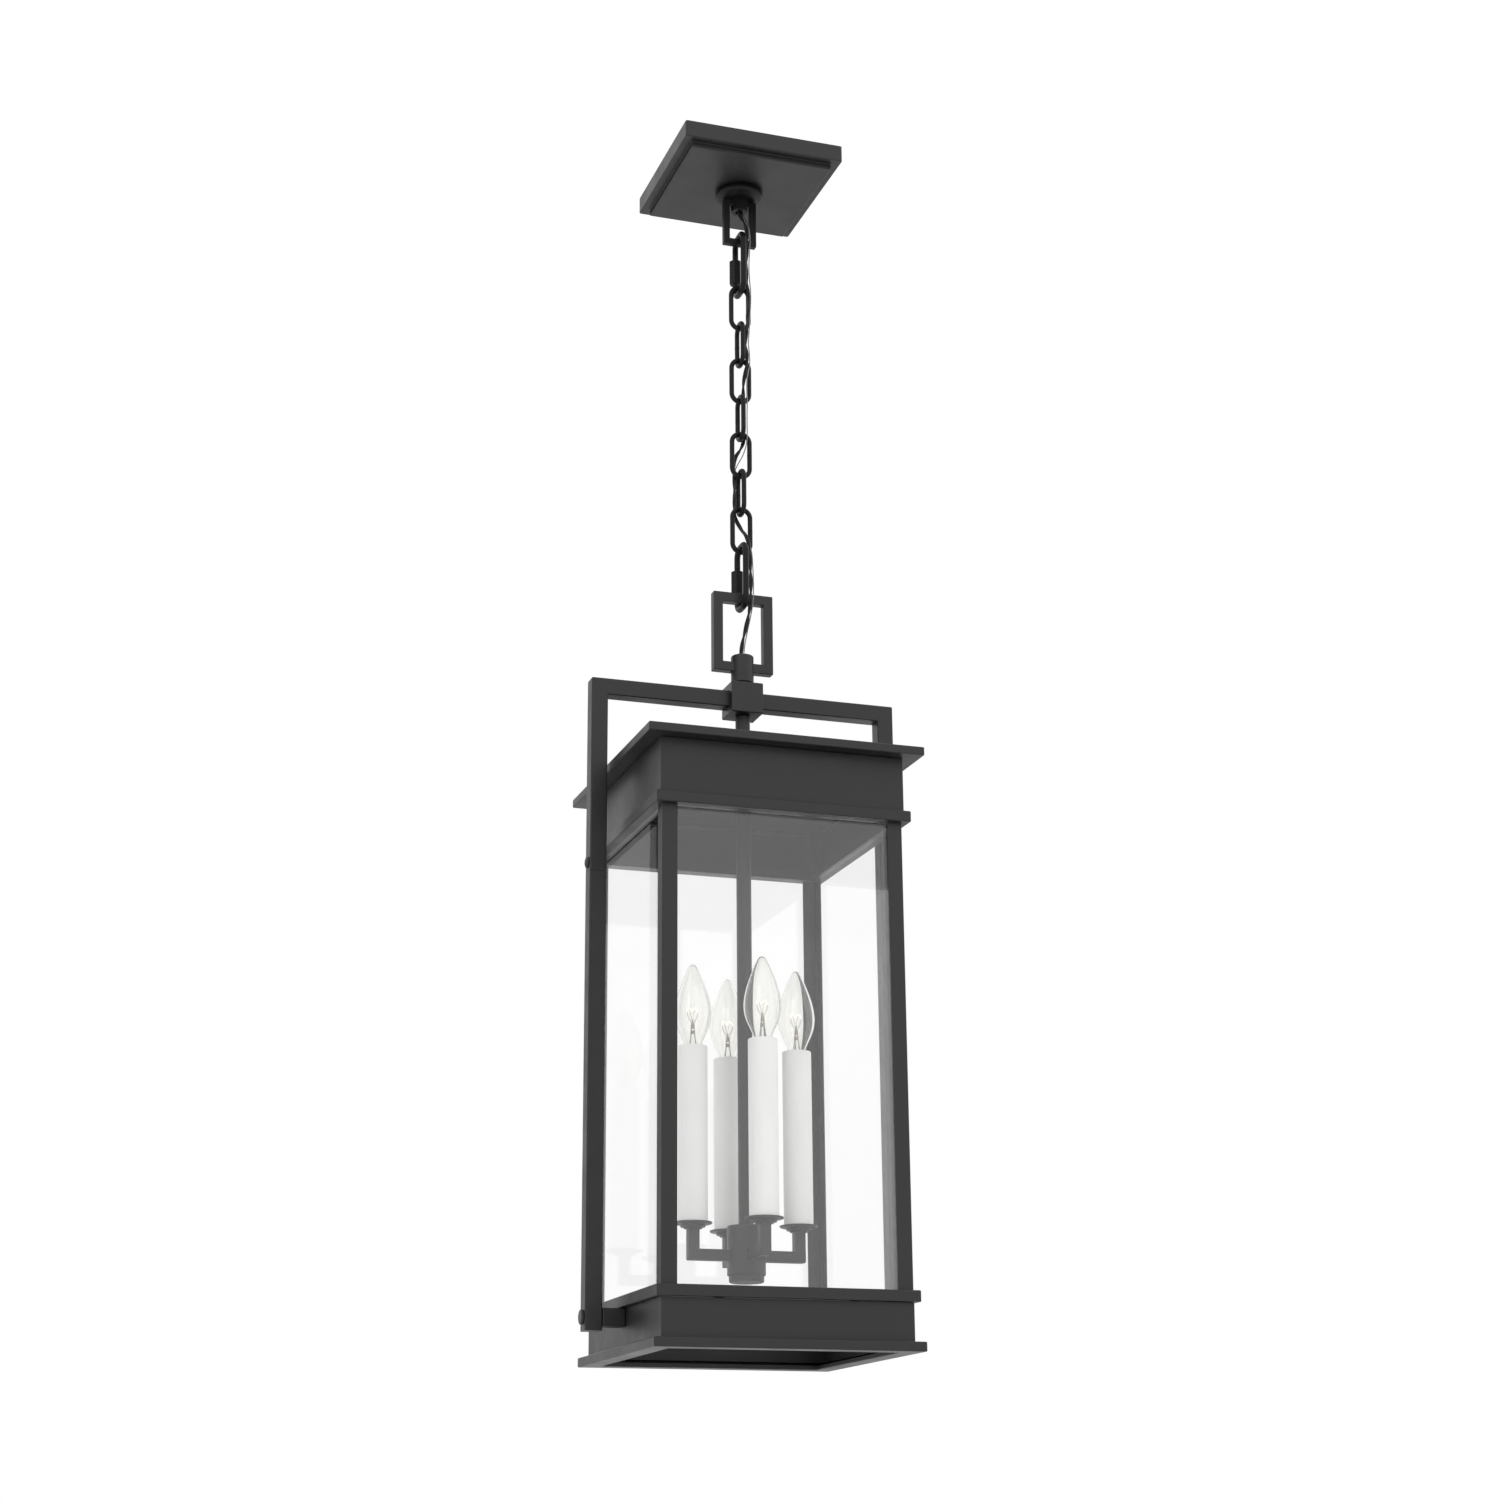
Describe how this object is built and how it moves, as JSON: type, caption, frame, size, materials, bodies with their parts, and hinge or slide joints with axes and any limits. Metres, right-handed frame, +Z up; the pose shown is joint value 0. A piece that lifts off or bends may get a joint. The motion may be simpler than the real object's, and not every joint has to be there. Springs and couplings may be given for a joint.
{
  "type": "hanging lantern",
  "caption": "Square glazed hanging lantern with a candle cluster, carried by a tall square yoke on a chain from a square ceiling canopy.",
  "frame": {"origin": "middle of the canopy on the ceiling plane", "axes": "+Z up into the ceiling, so the lantern hangs to -Z; +X to the right along the front pane; +Y away from the front"},
  "size_m": [0.3094, 0.265, 1.203],
  "materials": {
    "black_metal": "satin black powder coat",
    "zinc_steel": "zinc plated",
    "candle_white": "smooth matte",
    "socket_brass": "satin",
    "clear_glass": "clear",
    "wire_insulation": "smooth insulation"
  },
  "bodies": {
    "ceiling_plate": {"ceiling_crossbar": "zinc_steel", "crossbar_screw_left": "zinc_steel", "crossbar_screw_right": "zinc_steel", "ground_screw": "socket_brass", "threaded_nipple": "zinc_steel", "nipple_locknut": "zinc_steel", "canopy_shell": "black_metal", "canopy_loop": "black_metal", "supply_cord": "wire_insulation", "ground_wire": "zinc_steel"},
    "collar": {"collar_ring": "black_metal"},
    "quick_link_top": {"quick_link_upper": "black_metal"},
    "quick_sleeve_top": {"quick_link_upper_sleeve": "black_metal"},
    "link_1": {"chain_link_1": "black_metal"},
    "link_2": {"chain_link_2": "black_metal"},
    "link_3": {"chain_link_3": "black_metal"},
    "link_4": {"chain_link_4": "black_metal"},
    "link_5": {"chain_link_5": "black_metal"},
    "link_6": {"chain_link_6": "black_metal"},
    "link_7": {"chain_link_7": "black_metal"},
    "quick_link_bottom": {"quick_link_lower": "black_metal"},
    "quick_sleeve_bottom": {"quick_link_lower_sleeve": "black_metal"},
    "lamp_front": {"bulb_front": "clear_glass"},
    "lamp_back": {"bulb_back": "clear_glass"},
    "lamp_left": {"bulb_left": "clear_glass"},
    "lamp_right": {"bulb_right": "clear_glass"},
    "lantern": {"lantern_loop": "black_metal", "hub_block": "black_metal", "yoke_crossbar": "black_metal", "yoke_leg_left": "black_metal", "yoke_leg_right": "black_metal", "leg_screw_upper_left": "black_metal", "leg_screw_upper_right": "black_metal", "leg_screw_lower_left": "black_metal", "leg_screw_lower_right": "black_metal", "standoff_left": "black_metal", "standoff_right": "black_metal", "stem_tube": "black_metal", "roof_plate": "black_metal", "cap_box": "black_metal", "cage_frame": "black_metal", "base_skirt": "black_metal", "glass_front": "clear_glass", "glass_back": "clear_glass", "glass_left": "clear_glass", "glass_right": "clear_glass", "cluster_body": "black_metal", "cluster_cap": "black_metal", "drip_dish_front": "black_metal", "drip_dish_back": "black_metal", "drip_dish_left": "black_metal", "drip_dish_right": "black_metal", "candle_sleeve_front": "candle_white", "candle_sleeve_back": "candle_white", "candle_sleeve_left": "candle_white", "candle_sleeve_right": "candle_white", "lamp_socket_front": "socket_brass", "lamp_socket_back": "socket_brass", "lamp_socket_left": "socket_brass", "lamp_socket_right": "socket_brass"}
  },
  "joints": [
    {"name": "collar_turn", "type": "hinge", "parent": "ceiling_plate", "child": "collar", "pos_m": [0, 0, -0.028], "axis": [0, 0, 1], "continuous": true},
    {"name": "quick_link_top_swing", "type": "hinge", "parent": "ceiling_plate", "child": "quick_link_top", "pos_m": [0, 0, -0.0805], "axis": [1, 0, 0], "range_deg": [-30, 30], "deforming": ["supply_cord", "ground_wire"]},
    {"name": "quick_sleeve_top_slide", "type": "slide", "parent": "quick_link_top", "child": "quick_sleeve_top", "axis": [0, 0, 1], "range_m": [0, 0.012]},
    {"name": "link_1_swing", "type": "hinge", "parent": "quick_link_top", "child": "link_1", "pos_m": [0, 0, -0.1372], "axis": [0, 1, 0], "range_deg": [-30, 30], "deforming": ["supply_cord", "ground_wire"]},
    {"name": "link_2_swing", "type": "hinge", "parent": "link_1", "child": "link_2", "pos_m": [0, 0, -0.1769], "axis": [-1, 0, 0], "range_deg": [-30, 30], "deforming": ["supply_cord", "ground_wire"]},
    {"name": "link_3_swing", "type": "hinge", "parent": "link_2", "child": "link_3", "pos_m": [0, 0, -0.2172], "axis": [0, -1, 0], "range_deg": [-30, 30], "deforming": ["supply_cord", "ground_wire"]},
    {"name": "link_4_swing", "type": "hinge", "parent": "link_3", "child": "link_4", "pos_m": [0, 0, -0.2575], "axis": [1, 0, 0], "range_deg": [-30, 30], "deforming": ["supply_cord", "ground_wire"]},
    {"name": "link_5_swing", "type": "hinge", "parent": "link_4", "child": "link_5", "pos_m": [0, 0, -0.2978], "axis": [0, 1, 0], "range_deg": [-30, 30], "deforming": ["supply_cord", "ground_wire"]},
    {"name": "link_6_swing", "type": "hinge", "parent": "link_5", "child": "link_6", "pos_m": [0, 0, -0.3381], "axis": [-1, 0, 0], "range_deg": [-30, 30], "deforming": ["supply_cord", "ground_wire"]},
    {"name": "link_7_swing", "type": "hinge", "parent": "link_6", "child": "link_7", "pos_m": [0, 0, -0.3784], "axis": [0, -1, 0], "range_deg": [-30, 30], "deforming": ["supply_cord", "ground_wire"]},
    {"name": "quick_link_bottom_swing", "type": "hinge", "parent": "link_7", "child": "quick_link_bottom", "pos_m": [0, 0, -0.4187], "axis": [1, 0, 0], "range_deg": [-30, 30], "deforming": ["supply_cord", "ground_wire"]},
    {"name": "quick_sleeve_bottom_slide", "type": "slide", "parent": "quick_link_bottom", "child": "quick_sleeve_bottom", "axis": [0, 0, 1], "range_m": [0, 0.012]},
    {"name": "lantern_swing", "type": "hinge", "parent": "quick_link_bottom", "child": "lantern", "pos_m": [0, 0, -0.4768], "axis": [0, 1, 0], "range_deg": [-30, 30], "deforming": ["supply_cord", "ground_wire"]},
    {"name": "lamp_front_turn", "type": "hinge", "parent": "lantern", "child": "lamp_front", "pos_m": [0, -0.0505, -0.911], "axis": [0, 0, 1], "continuous": true},
    {"name": "lamp_back_turn", "type": "hinge", "parent": "lantern", "child": "lamp_back", "pos_m": [0, 0.0505, -0.911], "axis": [0, 0, 1], "continuous": true},
    {"name": "lamp_left_turn", "type": "hinge", "parent": "lantern", "child": "lamp_left", "pos_m": [-0.0505, 0, -0.911], "axis": [0, 0, 1], "continuous": true},
    {"name": "lamp_right_turn", "type": "hinge", "parent": "lantern", "child": "lamp_right", "pos_m": [0.0505, 0, -0.911], "axis": [0, 0, 1], "continuous": true}
  ]
}
